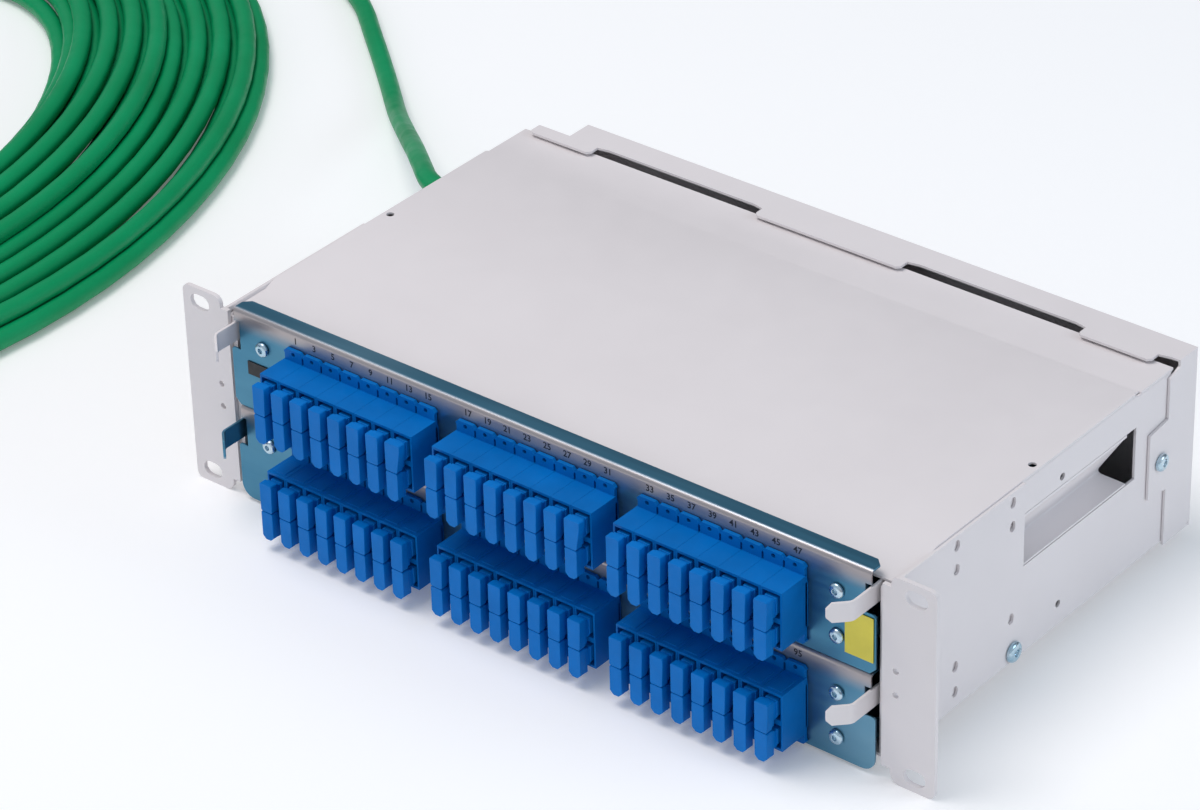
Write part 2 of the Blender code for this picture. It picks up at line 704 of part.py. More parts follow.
def make_gland(plastic):
    """The cable gland on the left wall: a body with a flange inside, a nut outside and a bore."""
    inside = [(6.8, 12.0), (12.0, 12.0), (12.0, -2.0), (16.0, -2.0)]
    outside = [(16.0, -6.5), (13.5, -9.0), (12.0, -20.0), (6.8, -22.0)]
    y, z = CABLE_EXIT
    sides = 20
    bm = bmesh.new()
    rings = []
    for radius, along in inside + outside:
        ring = []
        for i in range(sides):
            angle = 2 * math.pi * i / sides
            place = (-CHASSIS_HALF + along, y + radius * math.cos(angle), z + radius * math.sin(angle))
            ring.append(bm.verts.new(place))
        rings.append(ring)
    for k, lower in enumerate(rings):
        upper = rings[(k + 1) % len(rings)]
        for i in range(sides):
            j = (i + 1) % sides
            bm.faces.new((lower[i], lower[j], upper[j], upper[i]))
    finish("cable_gland", bm, plastic, smooth=True)


def make_end_sleeve(plastic):
    """A sleeve closes the far end of the cable, in line with its last stretch."""
    start = Vector(tail_point(TAIL_END))
    ahead = start - Vector(tail_point(TAIL_END - 2))
    centre = start + Vector((0, 0, 1.6))
    sleeve = [(0, 0.6), (7.2, 0.6), (7.6, 2.0), (7.6, 42.0), (6.0, 47.0), (0, 48.0)]
    obj = finish("cable_end_cap", lathe(sleeve, (0, 0, 0), "Y", 14), plastic, smooth=True)
    obj.location = centre * MM + FRAME_SHIFT
    obj.rotation_euler = (0, 0, math.atan2(ahead.y, ahead.x) - math.pi / 2)


def make_slide(level, lift):
    """The empty that a tray and everything on it slides with."""
    slide = bpy.data.objects.new(f"{level}_tray_slide", None)
    bpy.context.scene.collection.objects.link(slide)
    slide.location = FRAME_SHIFT + Vector((0, 0, (TRAY_FLOOR + lift) * MM))
    return slide


def make_lever_pivot(level, side, sign, lift, slide):
    pivot = bpy.data.objects.new(f"{level}_lever_pivot_{side}", None)
    bpy.context.scene.collection.objects.link(pivot)
    middle = Vector((sign * LEVER_X, LEVER_PIVOT_Y, (LEVER_LOW + LEVER_HIGH) / 2 + lift))
    pivot.location = middle * MM + FRAME_SHIFT - slide.location
    pivot.parent = slide
    return pivot


def main():
    clear_scene()
    paint = material("light_grey_paint", (0.72, 0.71, 0.70), 0.55)
    steel = material("zinc_steel", (0.22, 0.38, 0.50), 0.35, 0.9)
    blue = material("blue_plastic", (0.0, 0.17, 0.62), 0.45)
    screw_steel = material("screw_steel", (0.45, 0.60, 0.70), 0.3, 0.9)
    jacket = material("green_jacket", (0.0, 0.24, 0.10), 0.45)
    black = material("black_print", (0.01, 0.01, 0.012), 0.5)
    yellow = material("yellow_label", (0.70, 0.62, 0.05), 0.5)
    grey = material("dark_grey_plastic", (0.10, 0.10, 0.11), 0.5)

    make_chassis(paint)
    make_trough(paint)
    make_top_cover(paint)
    make_rear_cover(paint)
    make_ear("ear_left", -1, paint)
    make_ear("ear_right", 1, paint)

    for level, lift in (("lower", 0.0), ("upper", TRAY_PITCH)):
        slide = make_slide(level, lift)
        make_plate(f"{level}_front_plate", lift, level == "upper", steel, slide)
        make_tray(f"{level}_tray", lift, steel, slide)
        for side, sign in (("left", -1), ("right", 1)):
            make_rail(f"{level}_rail_{side}", lift, sign, steel)
            pivot = make_lever_pivot(level, side, sign, lift, slide)
            make_lever(f"{level}_latch_lever_{side}", sign, lift, paint, pivot)
            for place, z in zip(("bottom", "top"), PLATE_SCREW_RISES):
                name = f"{level}_plate_screw_{side}_{place}"
                head_seat = (sign * PLATE_SCREW_X, PLATE_FRONT - GAP, z + lift)
                make_screw(name, head_seat, "Y", -1, screw_steel, parent=slide)
        for place, x in zip(("left", "middle", "right"), BLOCK_CENTRES):
            make_block(f"{level}_adapters_{place}", x, lift, blue, slide)
            make_caps(f"{level}_caps_{place}", x, lift, blue, slide)
        make_cassette(level, lift, grey, slide)
        make_fanout(level, lift, grey, slide)
        if level == "upper":
            make_labels(black, yellow, slide)

    outside = CHASSIS_HALF + 2 * GAP + WALL
    make_screw("ear_screw_right", (outside, *EAR_SCREW), "X", 1, screw_steel, 5.8, 2.2, 5.0, 3.0)
    make_screw("ear_screw_left", (-outside, *EAR_SCREW), "X", -1, screw_steel, 5.8, 2.2, 5.0, 3.0)
    make_screw("rear_cover_screw", (outside, *REAR_SCREW), "X", 1, screw_steel, 5.0, 2.2, 5.0, 3.0)

    make_gland(grey)
    cable("trunk_cable", ROUTE, jacket)
    make_coil("cable_coil", jacket)
    make_tie("coil_tie_rear", 178, black)
    make_tie("coil_tie_front", 230, black)
    span = TAIL_END - TAIL_START
    tail = [tail_point(TAIL_START + span * i / 4) for i in range(5)]
    cable("cable_tail", tail, jacket, 3)
    make_end_sleeve(grey)


main()
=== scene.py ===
"""The looks of the fibre patch panel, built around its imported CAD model.

Sizes are in millimetres in the panel's own terms: X across the front, Y from the front face of the
rack ears towards the rear, Z up from the ears' lower ends. spot() turns such a point into metres in
the row frame.
"""

import json
import math
import random

import bmesh
import bpy
from mathutils import Matrix, Vector


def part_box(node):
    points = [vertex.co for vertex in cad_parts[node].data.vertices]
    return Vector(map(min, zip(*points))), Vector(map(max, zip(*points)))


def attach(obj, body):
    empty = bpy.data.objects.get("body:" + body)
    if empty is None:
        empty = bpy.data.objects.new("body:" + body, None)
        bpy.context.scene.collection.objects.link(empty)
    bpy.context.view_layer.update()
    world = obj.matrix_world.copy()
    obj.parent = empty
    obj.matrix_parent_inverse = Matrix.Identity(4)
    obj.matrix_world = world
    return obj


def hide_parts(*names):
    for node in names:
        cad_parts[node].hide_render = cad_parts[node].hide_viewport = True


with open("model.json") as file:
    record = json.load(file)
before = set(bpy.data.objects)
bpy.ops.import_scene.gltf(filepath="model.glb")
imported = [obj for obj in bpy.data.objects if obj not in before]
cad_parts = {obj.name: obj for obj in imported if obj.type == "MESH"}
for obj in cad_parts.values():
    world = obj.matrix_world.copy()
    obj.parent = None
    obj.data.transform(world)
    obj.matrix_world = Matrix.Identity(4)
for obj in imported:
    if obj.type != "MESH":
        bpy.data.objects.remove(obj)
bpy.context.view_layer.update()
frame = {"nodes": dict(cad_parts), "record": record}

MM = 0.001
EAR_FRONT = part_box("ear_right")[0].y
RANDOM = random.Random(7)

BODY_OF = {node: body for body, nodes in frame["record"]["behaviour"]["bodies"].items() for node in nodes}


def spot(x, y, z):
    return Vector((x * MM, y * MM + EAR_FRONT, z * MM))


# ---------------------------------------------------------------- camera, floor and light

CAMERA_AZIMUTH = math.radians(39.803)
CAMERA_ELEVATION = math.radians(31.904)
CAMERA_ROLL = math.radians(1.666)
CAMERA_PLACE = (1287.4, -1496.2, 1363.5)
CAMERA_LENS = 139.78


def make_camera():
    az, el, roll = CAMERA_AZIMUTH, CAMERA_ELEVATION, CAMERA_ROLL
    back = Vector((math.sin(az) * math.cos(el), -math.cos(az) * math.cos(el), math.sin(el)))
    level = Vector((0, 0, 1)).cross(back).normalized()
    rise = back.cross(level)
    right = level * math.cos(roll) - rise * math.sin(roll)
    up = level * math.sin(roll) + rise * math.cos(roll)
    camera = bpy.data.objects.new("camera", bpy.data.cameras.new("camera"))
    bpy.context.scene.collection.objects.link(camera)
    turn = Matrix((right, up, back)).transposed().to_4x4()
    camera.matrix_world = Matrix.Translation(spot(*CAMERA_PLACE)) @ turn
    camera.data.sensor_width = 36
    camera.data.lens = CAMERA_LENS
    camera.data.clip_start = 0.05
    camera.data.clip_end = 50
    bpy.context.scene.camera = camera


def area_light(name, place, target, size, power, colour):
    light = bpy.data.lights.new(name, "AREA")
    light.shape = "DISK"
    light.size = size
    light.energy = power
    light.color = colour
    obj = bpy.data.objects.new(name, light)
    bpy.context.scene.collection.objects.link(obj)
    obj.location = place
    obj.rotation_mode = "QUATERNION"
    obj.rotation_quaternion = (Vector(target) - Vector(place)).to_track_quat("-Z", "Y")
    return obj


def make_world():
    """A soft bluish-white surround, brighter in front of the panel and darker behind it."""
    world = bpy.data.worlds.new("studio")
    world.use_nodes = True
    nodes, links = world.node_tree.nodes, world.node_tree.links
    split = nodes.new("ShaderNodeSeparateXYZ")
    links.new(nodes.new("ShaderNodeTexCoord").outputs["Generated"], split.inputs["Vector"])
    behind = nodes.new("ShaderNodeMapRange")
    behind.inputs["From Min"].default_value = -0.1
    behind.inputs["From Max"].default_value = 0.75
    behind.inputs["To Min"].default_value = 0.62
    behind.inputs["To Max"].default_value = 0.20
    links.new(split.outputs["Y"], behind.inputs["Value"])
    nodes["Background"].inputs["Color"].default_value = (0.82, 0.90, 1.0, 1)
    links.new(behind.outputs["Result"], nodes["Background"].inputs["Strength"])
    bpy.context.scene.world = world


def make_studio():
    make_world()
    bpy.context.scene.view_settings.view_transform = "Standard"
    panel = (0, 0, 0.1)
    area_light("key", (-0.7, -0.5, 2.6), panel, size=1.6, power=36, colour=(1.0, 0.94, 0.91))
    area_light("fill", (2.5, 0.9, 1.3), panel, size=1.4, power=18, colour=(0.74, 0.87, 1.0))
    bpy.ops.mesh.primitive_plane_add(size=12, location=(0, 0, 0))
    floor = bpy.context.object
    floor.name = "studio_floor"
    mat, shader = new_material("studio_floor", (0.93, 0.93, 0.93), 0.8)
    shader.inputs["Emission Color"].default_value = (1, 1, 1, 1)
    shader.inputs["Emission Strength"].default_value = 0.13
    floor.data.materials.append(mat)


# ---------------------------------------------------------------- materials

def new_material(name, colour, roughness, metallic=0.0):
    mat = bpy.data.materials.new(name)
    mat.use_nodes = True
    shader = mat.node_tree.nodes["Principled BSDF"]
    shader.inputs["Base Color"].default_value = (*colour, 1)
    shader.inputs["Roughness"].default_value = roughness
    shader.inputs["Metallic"].default_value = metallic
    return mat, shader


def noise(mat, scale, detail=2.0, stretch=(1, 1, 1)):
    """A noise texture in the object's own space, with a stretch along its axes."""
    nodes, links = mat.node_tree.nodes, mat.node_tree.links
    coords = nodes.new("ShaderNodeTexCoord")
    mapping = nodes.new("ShaderNodeMapping")
    mapping.inputs["Scale"].default_value = stretch
    texture = nodes.new("ShaderNodeTexNoise")
    texture.inputs["Scale"].default_value = scale
    texture.inputs["Detail"].default_value = detail
    links.new(coords.outputs["Object"], mapping.inputs["Vector"])
    links.new(mapping.outputs["Vector"], texture.inputs["Vector"])
    return texture.outputs["Fac"]


def map_range(mat, source, start, end, low, high):
    """A number that goes from low at start to high at end, and stays there beyond them."""
    node = mat.node_tree.nodes.new("ShaderNodeMapRange")
    node.inputs["From Min"].default_value = start
    node.inputs["From Max"].default_value = end
    node.inputs["To Min"].default_value = low
    node.inputs["To Max"].default_value = high
    mat.node_tree.links.new(source, node.inputs["Value"])
    return node


def between(mat, source, low, high):
    """A number between low and high as the noise goes from about 0.3 to 0.7."""
    return map_range(mat, source, 0.3, 0.7, low, high).outputs["Result"]


def colours(mat, source, stops):
    """Colours along the noise: stops are (position, colour)."""
    ramp = mat.node_tree.nodes.new("ShaderNodeValToRGB")
    elements = ramp.color_ramp.elements
    while len(elements) < len(stops):
        elements.new(0.5)
    for element, (position, colour) in zip(elements, stops):
        element.position = position
        element.color = (*colour, 1)
    mat.node_tree.links.new(source, ramp.inputs["Fac"])
    return ramp.outputs["Color"]


def bump(mat, shader, source, distance, strength=1.0, under=None):
    node = mat.node_tree.nodes.new("ShaderNodeBump")
    node.inputs["Distance"].default_value = distance
    node.inputs["Strength"].default_value = strength
    mat.node_tree.links.new(source, node.inputs["Height"])
    if under:
        mat.node_tree.links.new(under, node.inputs["Normal"])
    mat.node_tree.links.new(node.outputs["Normal"], shader.inputs["Normal"])
    return node.outputs["Normal"]


def painted_sheet():
    """Warm light-grey powder coat with a fine orange-peel surface."""
    mat, shader = new_material("painted_sheet", (0.74, 0.725, 0.715), 0.5)
    links = mat.node_tree.links
    shade = noise(mat, 9, 3)
    stops = ((0.3, (0.74, 0.695, 0.70)), (0.7, (0.77, 0.725, 0.73)))
    links.new(colours(mat, shade, stops), shader.inputs["Base Color"])
    links.new(between(mat, noise(mat, 60, 4), 0.46, 0.6), shader.inputs["Roughness"])
    coarse = bump(mat, shader, noise(mat, 650, 2), 0.0001, 0.35)
    bump(mat, shader, noise(mat, 2600, 2), 0.00004, 0.5, coarse)
    return mat


# A paler, warmer grey painted under the plates' round bend, standing for its reflection of the bright
# surround.
BEND_REFLECTION_COLOUR = (0.50, 0.41, 0.38, 1)
BEND_REFLECTION_START = 14.0
BEND_REFLECTION_END = 3.0


def paler_under_bend(mat, colour, bend_top):
    """Mixes a paler, warmer grey into the sheet's front face, growing towards the bend along its top: a
    painted reflection of the bright surround in the round bend.
    """
    nodes, links = mat.node_tree.nodes, mat.node_tree.links
    split = nodes.new("ShaderNodeSeparateXYZ")
    links.new(nodes.new("ShaderNodeTexCoord").outputs["Object"], split.inputs["Vector"])
    start, end = (bend_top - BEND_REFLECTION_START) * MM, (bend_top - BEND_REFLECTION_END) * MM
    reflection_ramp = map_range(mat, split.outputs["Z"], start, end, 0.0, 0.8)
    reflection_ramp.interpolation_type = "SMOOTHSTEP"
    front = map_range(mat, split.outputs["Y"], EAR_FRONT - 0.3 * MM, EAR_FRONT + 1.5 * MM, 1.0, 0.0)
    share = nodes.new("ShaderNodeMath")
    share.operation = "MULTIPLY"
    links.new(reflection_ramp.outputs["Result"], share.inputs[0])
    links.new(front.outputs["Result"], share.inputs[1])
    mix = nodes.new("ShaderNodeMix")
    mix.data_type = "RGBA"
    mix.inputs["B"].default_value = BEND_REFLECTION_COLOUR
    links.new(share.outputs["Value"], mix.inputs["Factor"])
    links.new(colour, mix.inputs["A"])
    return mix.outputs["Result"]


def zinc_steel(name, bend_top=None):
    """Blue-passivated zinc on sheet steel, with rolling streaks and, under a bend, a painted reflection: a
    paler band.
    """
    mat, shader = new_material(name, (0.08, 0.24, 0.36), 0.3, 0.9)
    links = mat.node_tree.links
    cloud = noise(mat, 6, 3, (1, 1, 2.5))
    stops = ((0.28, (0.05, 0.20, 0.32)), (0.5, (0.09, 0.26, 0.38)), (0.72, (0.17, 0.34, 0.45)))
    colour = colours(mat, cloud, stops)
    if bend_top is not None:
        # Painted reflection: a paler, warmer band mixed in under the bend.
        colour = paler_under_bend(mat, colour, bend_top)
    links.new(colour, shader.inputs["Base Color"])
    streaks = noise(mat, 260, 3, (0.05, 1, 1))
    links.new(between(mat, streaks, 0.28, 0.42), shader.inputs["Roughness"])
    bump(mat, shader, streaks, 0.00002, 0.5)
    return mat


def blue_plastic(name, tint):
    mat, shader = new_material(name, (0.0, 0.17, 0.56), 0.42)
    shader.inputs["Specular IOR Level"].default_value = 0.12
    links = mat.node_tree.links
    low = tuple(c * tint * 0.93 for c in (0.0, 0.155, 0.52))
    high = tuple(c * tint for c in (0.0, 0.175, 0.58))
    links.new(colours(mat, noise(mat, 40, 3), ((0.3, low), (0.7, high))), shader.inputs["Base Color"])
    links.new(between(mat, noise(mat, 150, 3), 0.36, 0.5), shader.inputs["Roughness"])
    bump(mat, shader, noise(mat, 2200, 2), 0.00003, 0.4)
    return mat


def zinc_screw():
    mat, shader = new_material("zinc_screw", (0.45, 0.62, 0.72), 0.22, 0.95)
    links = mat.node_tree.links
    stops = ((0.3, (0.36, 0.56, 0.68)), (0.7, (0.62, 0.72, 0.78)))
    links.new(colours(mat, noise(mat, 180, 3), stops), shader.inputs["Base Color"])
    links.new(between(mat, noise(mat, 500, 3), 0.16, 0.32), shader.inputs["Roughness"])
    return mat


def cable_jacket():
    mat, shader = new_material("cable_jacket", (0.0, 0.27, 0.10), 0.42)
    shader.inputs["Specular IOR Level"].default_value = 0.25
    links = mat.node_tree.links
    stops = ((0.3, (0.0, 0.25, 0.085)), (0.7, (0.0, 0.31, 0.115)))
    links.new(colours(mat, noise(mat, 14, 3), stops), shader.inputs["Base Color"])
    links.new(between(mat, noise(mat, 90, 4), 0.36, 0.52), shader.inputs["Roughness"])
    bump(mat, shader, noise(mat, 420, 3), 0.00006, 0.4)
    return mat


def plain_plastic(name, colour, roughness, grain=900):
    mat, shader = new_material(name, colour, roughness)
    links = mat.node_tree.links
    dark = tuple(c * 0.88 for c in colour)
    links.new(colours(mat, noise(mat, 60, 3), ((0.3, dark), (0.7, colour))), shader.inputs["Base Color"])
    shade = between(mat, noise(mat, 200, 3), roughness - 0.06, roughness + 0.08)
    links.new(shade, shader.inputs["Roughness"])
    bump(mat, shader, noise(mat, grain, 2), 0.00005, 0.4)
    return mat


# ---------------------------------------------------------------- making pieces

def add_piece(name, mesh_or_curve, mat, body, replaced=()):
    obj = bpy.data.objects.new(name, mesh_or_curve)
    bpy.context.scene.collection.objects.link(obj)
    if mat and not mesh_or_curve.materials:
        mesh_or_curve.materials.append(mat)
    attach(obj, body)
    if replaced:
        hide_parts(*replaced)
    return obj


def soften(obj, width, segments=2, angle=40):
    """Rounds the piece's sharp edges by a width in millimetres."""
    modifier = obj.modifiers.new("edges", "BEVEL")
    modifier.width = width * MM
    modifier.segments = segments
    modifier.limit_method = "ANGLE"
    modifier.angle_limit = math.radians(angle)
    modifier.harden_normals = True
    modifier.use_clamp_overlap = True


def mesh_piece(name, bm, mat, body, replaced=(), edge=0.3, segments=2):
    """A piece from a bmesh in the panel's millimetres, with its sharp edges rounded."""
    bmesh.ops.recalc_face_normals(bm, faces=bm.faces)
    for vert in bm.verts:
        vert.co = spot(*vert.co)
    mesh = bpy.data.meshes.new(name)
    bm.to_mesh(mesh)
    bm.free()
    mesh.shade_smooth()
    mesh.set_sharp_from_angle(angle=math.radians(40))
    obj = add_piece(name, mesh, mat, body, replaced)
    if edge:
        soften(obj, edge, segments)
    return obj


def refine(node, mat, width=0.3, segments=2):
    """A finished copy of a CAD node: the same faces, without the tiny steps and with rounded edges."""
    bm = bmesh.new()
    bm.from_mesh(frame["nodes"][node].data)
    bmesh.ops.remove_doubles(bm, verts=bm.verts, dist=0.45 * MM)
    bmesh.ops.dissolve_degenerate(bm, edges=bm.edges, dist=0.05 * MM)
    bmesh.ops.dissolve_limit(bm, angle_limit=math.radians(1.5), verts=bm.verts, edges=bm.edges)
    mesh = bpy.data.meshes.new(node + "_finished")
    bm.to_mesh(mesh)
    bm.free()
    mesh.shade_smooth()
    mesh.set_sharp_from_angle(angle=math.radians(40))
    obj = add_piece(node + "_finished", mesh, mat, BODY_OF[node], [node])
    soften(obj, width, segments)
    return obj


def arc(cx, cy, radius, start, end, steps):
    points = []
    for i in range(steps + 1):
        angle = math.radians(start + (end - start) * i / steps)
        points.append((cx + radius * math.cos(angle), cy + radius * math.sin(angle)))
    return points


def disc(cx, cy, radius, sides=20):
    return arc(cx, cy, radius, 0, 360 - 360 / sides, sides - 1)


def rectangle(x, z, half_width, half_height):
    """The corners of an upright rectangle about a centre, as (x, z) points from its lower left one."""
    left, right, low, high = x - half_width, x + half_width, z - half_height, z + half_height
    return [(left, low), (right, low), (right, high), (left, high)]


def loft(sections, bm=None):
    """A closed body through sections with equal numbers of points, which are (x, y, z)."""
    bm = bm or bmesh.new()
    rings = [[bm.verts.new(point) for point in section] for section in sections]
    bm.faces.new(rings[0])
    bm.faces.new(list(reversed(rings[-1])))
    for lower, upper in zip(rings, rings[1:]):
        for i in range(len(lower)):
            j = (i + 1) % len(lower)
            bm.faces.new((lower[j], lower[i], upper[i], upper[j]))
    return bm


def pierced(outline, holes, y0, y1, bm=None):
    """A flat sheet between two depths: an outline in (x, z) with holes through it."""
    bm = bm or bmesh.new()
    edges = []
    for ring in [outline] + holes:
        verts = [bm.verts.new((x, y0, z)) for x, z in ring]
        edges += [bm.edges.new((verts[i], verts[(i + 1) % len(verts)])) for i in range(len(verts))]
    front = bmesh.ops.triangle_fill(bm, edges=edges, use_beauty=True)["geom"]
    faces = [item for item in front if isinstance(item, bmesh.types.BMFace)]
    back = bmesh.ops.extrude_face_region(bm, geom=faces, use_keep_orig=True)["geom"]
    for item in back:
        if isinstance(item, bmesh.types.BMVert):
            item.co.y = y1
    return bm


def turned(profile, centre, axis, sides=24, bm=None):
    """Turns (radius, distance) points about an axis through the centre; both ends lie on the axis."""
    bm = bm or bmesh.new()
    cx, cy, cz = centre
    rings = []
    for radius, along in profile:
        ring = []
        for i in range(sides if radius else 1):
            a = radius * math.cos(2 * math.pi * i / sides)
            b = radius * math.sin(2 * math.pi * i / sides)
            point = (cx + along, cy + a, cz + b) if axis == "X" else (cx + a, cy + along, cz + b)
            ring.append(bm.verts.new(point))
        rings.append(ring)
    for lower, upper in zip(rings, rings[1:]):
        for i in range(sides):
            j = (i + 1) % sides
            corners = [lower[i % len(lower)], lower[j % len(lower)]]
            corners += [upper[j % len(upper)], upper[i % len(upper)]]
            bm.faces.new(list(dict.fromkeys(corners)))
    return bm


# ---------------------------------------------------------------- trunk cable

CABLE_D = 12.0
COIL_CENTRE = (-688.4, 126.9)
COIL_HALF_LONG = 288.0
COIL_HALF_SHORT = 192.0
COIL_TILT = math.radians(106.8)
COIL_PITCH = 16.0
FLOOR_TURN_Z = 7.6
LAYER_RISE = math.sqrt(CABLE_D ** 2 - (COIL_PITCH / 2) ** 2)
TAIL_OUT = -84.0
TAIL_DRIFT = 14.0
TAIL_START = 185.0
TAIL_END = 206.0
ROUTE = (
    (-213.0, 214.0, 78.0), (-226.0, 214.0, 78.0), (-244.0, 214.8, 77.7), (-266.0, 223.0, 75.2),
    (-289.0, 242.5, 68.7), (-318.0, 269.5, 57.0), (-363.0, 311.5, 36.0), (-412.0, 358.0, 13.5),
    (-455.0, 397.5, 6.9), (-498.0, 434.0, 6.7), (-542.0, 469.0, 6.7), (-598.0, 496.0, 6.8),
    (-663.0, 503.0, 7.0), (-730.0, 495.5, 7.6), (-789.5, 480.7, 7.6),
)


def smoothstep(value, low, high):
    share = min(max((value - low) / (high - low), 0.0), 1.0)
    return share * share * (3 - 2 * share)


def smooth_path(knots, per_span):
    """Points of a Catmull-Rom curve through the knots."""
    points = []
    knots = [Vector(k) for k in knots]
    ends = [knots[0] * 2 - knots[1]] + knots + [knots[-1] * 2 - knots[-2]]
    for i in range(1, len(ends) - 2):
        a, b, c, d = ends[i - 1], ends[i], ends[i + 1], ends[i + 2]
        for k in range(per_span):
            t = k / per_span
            bend = (2 * a - 5 * b + 4 * c - d) * t * t + (3 * b - a - 3 * c + d) * t**3
            points.append(0.5 * (2 * b + (c - a) * t + bend))
    points.append(knots[-1])
    return points


def coil_point(degrees, out, height):
    """A point of the coil: degrees from its far tip, and how far outside its middle line it is."""
    turn = math.radians(degrees)
    u = (COIL_HALF_LONG + out) * math.cos(turn)
    v = (COIL_HALF_SHORT + out) * math.sin(turn)
    c, s = math.cos(COIL_TILT), math.sin(COIL_TILT)
    return Vector((COIL_CENTRE[0] + u * c - v * s, COIL_CENTRE[1] + u * s + v * c, height))


def coil_turns():
    """(layer, distance outside the middle line) of each turn.

    The turns go inwards on the floor, back outwards on top of those, then inwards again.
    """
    turns = [(0, 4 * COIL_PITCH - COIL_PITCH * k) for k in range(9)]
    turns += [(1, -3.5 * COIL_PITCH + COIL_PITCH * k) for k in range(8)]
    turns += [(2, -COIL_PITCH * k) for k in range(4)]
    return turns


def coil_path(step=5.0):
    """The wound part of the cable.

    Turns change place in the first half of each lap and lie still in the other half.
    """
    points = []
    layer_before, out_before = 0, 5 * COIL_PITCH
    for layer, out in coil_turns():
        wave, phase = RANDOM.uniform(0.4, 1.5), RANDOM.uniform(0, 6.28)
        for i in range(int(360 / step)):
            degrees = i * step
            move = smoothstep(degrees, 40, 160)
            climb = smoothstep(degrees, 0, 45)
            ride_up = smoothstep(degrees, 5, 40) * (1 - smoothstep(degrees, 150, 178))
            level = layer_before + (layer - layer_before) * climb
            z = FLOOR_TURN_Z + level * LAYER_RISE + layer * (CABLE_D - LAYER_RISE) * ride_up
            sway = wave * math.sin(math.radians(degrees) * 3 + phase) * smoothstep(degrees, 170, 200)
            sway *= 1 - smoothstep(degrees, 340, 359)
            points.append(coil_point(degrees, out_before + (out - out_before) * move + sway, z))
        layer_before, out_before = layer, out
    return points


def tail_path():
    """The last stretch leaves the top layer, comes down inside the coil and runs to the end sleeve."""
    layer, out = coil_turns()[-1]
    top = FLOOR_TURN_Z + layer * LAYER_RISE
    points = []
    for i in range(36):
        degrees = TAIL_END * i / 35
        drift = max(0.0, (degrees - TAIL_START) / (TAIL_END - TAIL_START))
        inward = out + (TAIL_OUT - out) * smoothstep(degrees, 30, 150) - TAIL_DRIFT * drift * drift
        ride_up = smoothstep(degrees, 5, 30) * (1 - smoothstep(degrees, 60, 100))
        z = top + (CABLE_D - LAYER_RISE) * layer * ride_up
        z += (6.4 - top) * smoothstep(degrees, 70, 180)
        points.append(coil_point(degrees, inward, z))
    return points


def cable_curve(name, points):
    curve = bpy.data.curves.new(name, "CURVE")
    curve.dimensions = "3D"
    curve.bevel_depth = CABLE_D / 2 * MM
    curve.bevel_resolution = 4
    curve.use_fill_caps = True
    spline = curve.splines.new("POLY")
    spline.points.add(len(points) - 1)
    for place, point in zip(spline.points, points):
        place.co = (*spot(*point), 1)
    spline.use_smooth = True
    return curve


ON_THE_CABLE = (
    ("cable_end_cap", "grey_plastic"), ("coil_tie_rear", "black_trim"), ("coil_tie_front", "black_trim"),
)


def make_cable(mats):
    """The trunk cable. Its length is measured on the drawn path: no outside figure stands behind it."""
    points = smooth_path(ROUTE, 5)[:-1] + coil_path() + tail_path()
    curve = cable_curve("trunk_cable_jacket", points)
    cable = add_piece("trunk_cable_jacket", curve, mats["cable_green"], "chassis")
    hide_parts("trunk_cable", "cable_coil", "cable_tail")
    [refine(node, mats[slot], 0.4) for node, slot in ON_THE_CABLE]


# ---------------------------------------------------------------- trays: plates, adapters, caps, levers

TRAY_PITCH = 60.2
PLATE_FRONT = -1.3
PLATE_TOP = 59.8
PLATE_HALF = 209.8
PLATE_SHOULDER = 207.0
NOTCH_X = 203.5
NOTCH_LOW = 35.0
NOTCH_TOP = 51.8
WINDOW_HALF_WIDTH = 51.0
WINDOW_HALF_HEIGHT = 13.5
LEVER_LOW = 39.5
LEVER_HIGH = 50.8
LEVER_X = 206.75
LEVER_BEND = 5.0
LEVER_BEND_Y = -13.9
LEVER_PIVOT_Y = 28.0
EAR_FLANGE_BACK = 113.5
WALL_SCREW_X = 217.4
BLOCK_CENTRES = (-117.6, 0.0, 117.6)
PLACES = ("left", "middle", "right")
ADAPTER_PITCH = 13.0
ADAPTER_HALF = 6.45
ADAPTER_MID_Z = 26.5
ADAPTER_BACK = 14.0
BODY_FRONT = -22.7
BODY_HALF_HEIGHT = 16.8
FLANGE_HALF_HEIGHT = 23.5
PORT_RISE = 8.4
PORT_HALF_WIDTH = 5.3
PORT_HALF_HEIGHT = 6.9
PORT_FLOOR = -8.0
CAP_FRONT = -32.0
BLADE_BACK = -27.4
PLUG_HALF_WIDTH = 3.7
PLUG_HALF_HEIGHT = 4.8
PLUG_END = -12.0
CAP_HALF_WIDTH = 3.85
CAP_HALF_HEIGHT = 8.6
CAP_RISES = (-10.75, 6.75)
PLATE_SCREW_X = 187.0
PLATE_SCREW_RISES = (14.8, 41.2)


def plate_outline(upper, top):
    """The plate's front seen square on, as (x, z) points, with a notch for the lever at each side."""
    half = [(PLATE_SHOULDER, top), (PLATE_SHOULDER, NOTCH_TOP), (NOTCH_X, NOTCH_TOP), (NOTCH_X, NOTCH_LOW)]
    half += [(208.6, NOTCH_LOW), (PLATE_HALF, NOTCH_LOW - 1.2)]
    if upper:
        half += [(PLATE_HALF, 3.6), (PLATE_HALF - 3.4, 0.3)]
    else:
        half += arc(PLATE_HALF - 8.0, 10.1, 8.0, 0, -90, 8)
    return half + [(-x, z) for x, z in reversed(half)]


